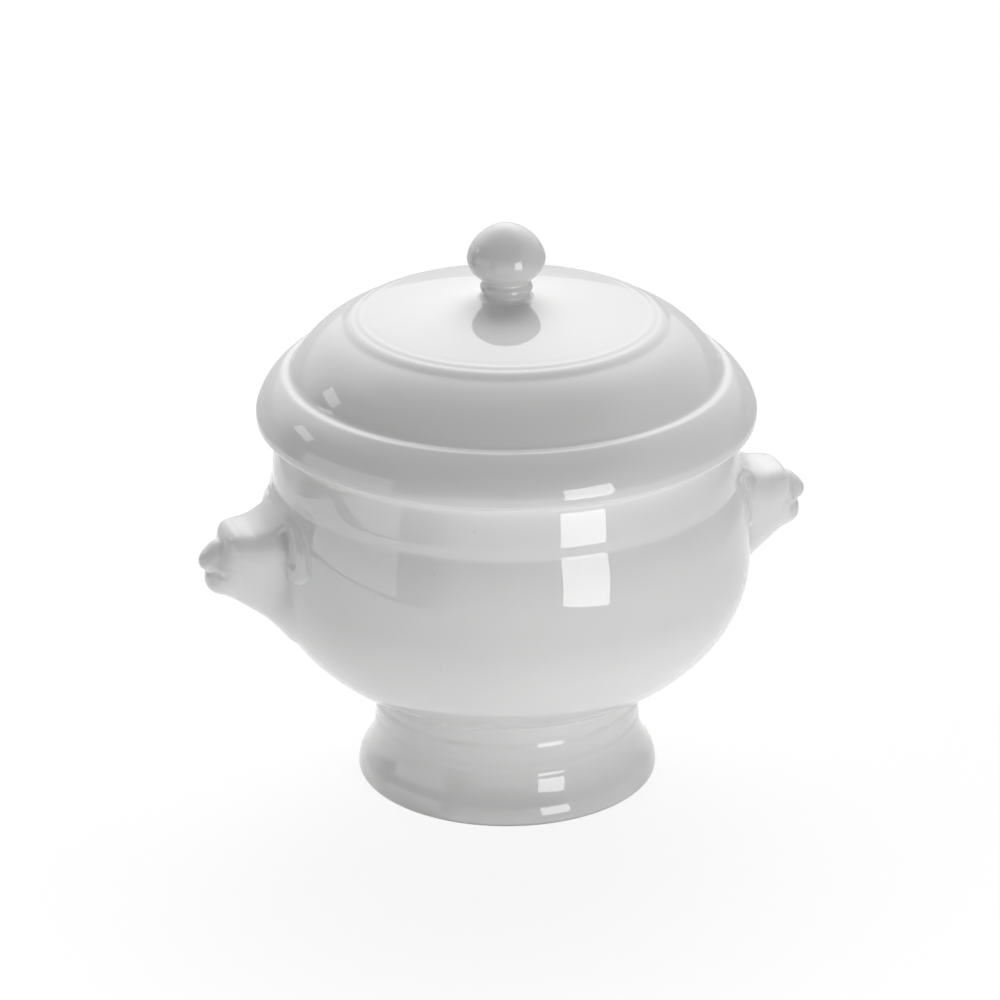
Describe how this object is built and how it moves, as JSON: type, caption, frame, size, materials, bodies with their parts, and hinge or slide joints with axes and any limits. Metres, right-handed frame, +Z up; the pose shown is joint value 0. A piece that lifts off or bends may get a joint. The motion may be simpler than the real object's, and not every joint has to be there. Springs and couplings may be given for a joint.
{
  "type": "lidded soup cup",
  "caption": "Footed round soup cup in white glazed porcelain with lion-head lug handles and a loose stepped lid with a ball knob.",
  "frame": {"origin": "centre of the foot ring's tread on the table", "axes": "+X along the line through the two lion heads, towards the right head; +Z up through the lid's knob; -Y is the front"},
  "size_m": [0.1586, 0.124, 0.1456],
  "materials": {
    "white_glaze": "clear gloss glaze over white porcelain"
  },
  "bodies": {
    "cup": {"bowl": "white_glaze", "pedestal_foot": "white_glaze", "left_lion_head": "white_glaze", "right_lion_head": "white_glaze"},
    "cover": {"lid": "white_glaze", "lid_knob": "white_glaze"}
  },
  "joints": [
    {"name": "lid_lift", "type": "slide", "parent": "cup", "child": "cover", "axis": [0, 0, 1], "range_m": [0, 0.15]}
  ]
}
